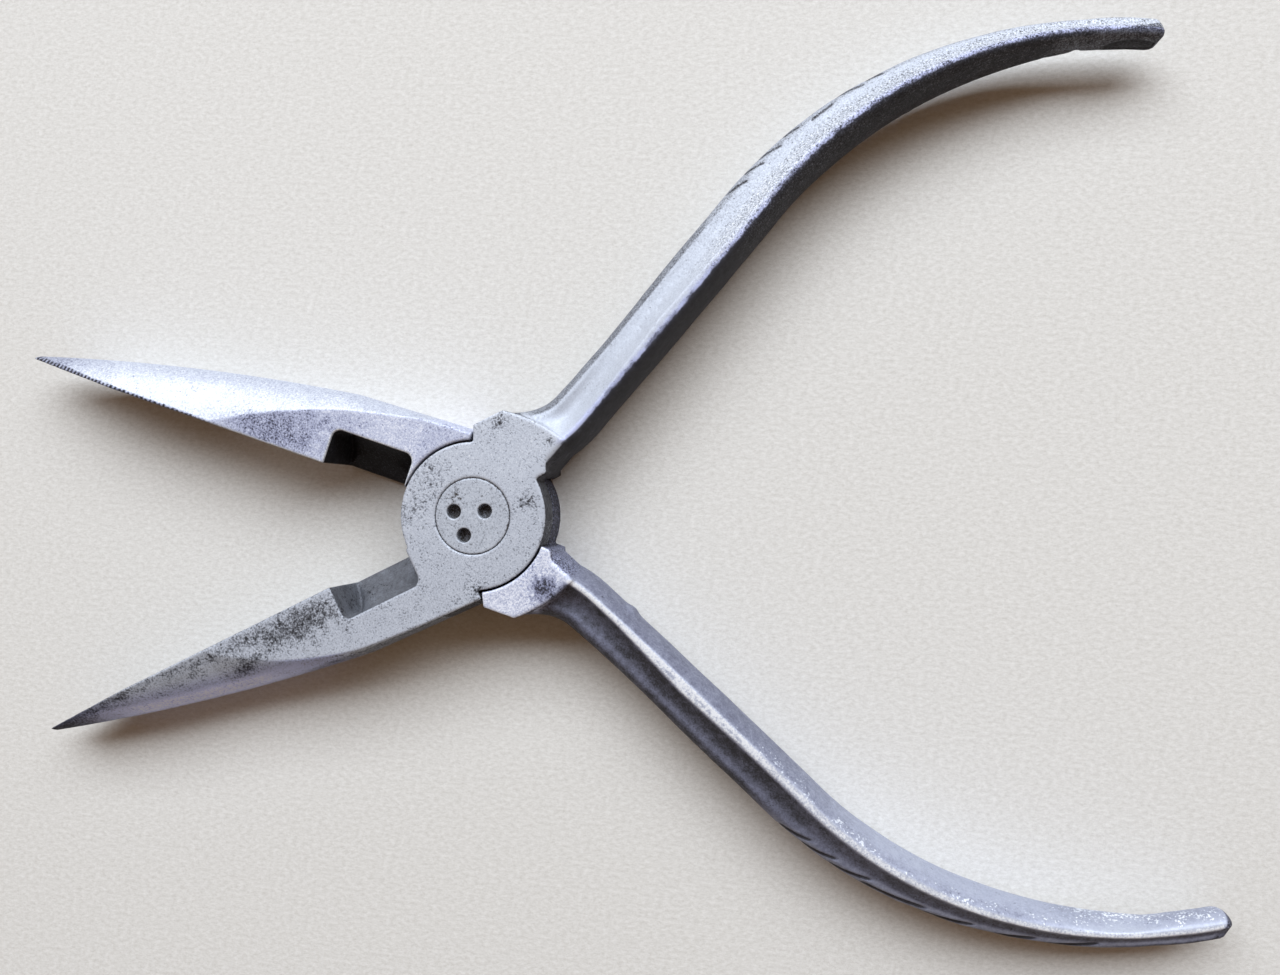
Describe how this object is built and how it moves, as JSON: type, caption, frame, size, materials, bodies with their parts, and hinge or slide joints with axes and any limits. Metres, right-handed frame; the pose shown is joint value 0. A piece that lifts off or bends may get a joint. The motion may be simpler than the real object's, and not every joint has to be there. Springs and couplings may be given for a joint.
{
  "type": "long nose pliers",
  "caption": "Long nose pliers with serrated tapering jaws, side cutters in pockets, a flush-pinned lap joint and bowed forged handles.",
  "frame": {"origin": "centre of the pivot, on the back face that the pliers rest on", "axes": "+X from the nose towards the handles along the closed centreline, +Z out of the front face along the pivot, +Y towards the front lever's handle"},
  "size_m": [0.1462, 0.1096, 0.0095],
  "materials": {
    "front_lever_steel": "old forged steel, satin worn and finely pitted",
    "back_lever_steel": "old forged steel, polished by use, finely pitted",
    "pin_steel": "machined steel, worn matt"
  },
  "bodies": {
    "front_lever_body": {"front_lever": "front_lever_steel", "pivot_pin": "pin_steel"},
    "back_lever_body": {"back_lever": "back_lever_steel"}
  },
  "joints": [
    {"name": "jaw_hinge", "type": "hinge", "parent": "front_lever_body", "child": "back_lever_body", "pos_m": [0, 0, 0], "axis": [0, 0, 1], "range_deg": [0, 44.5]}
  ]
}
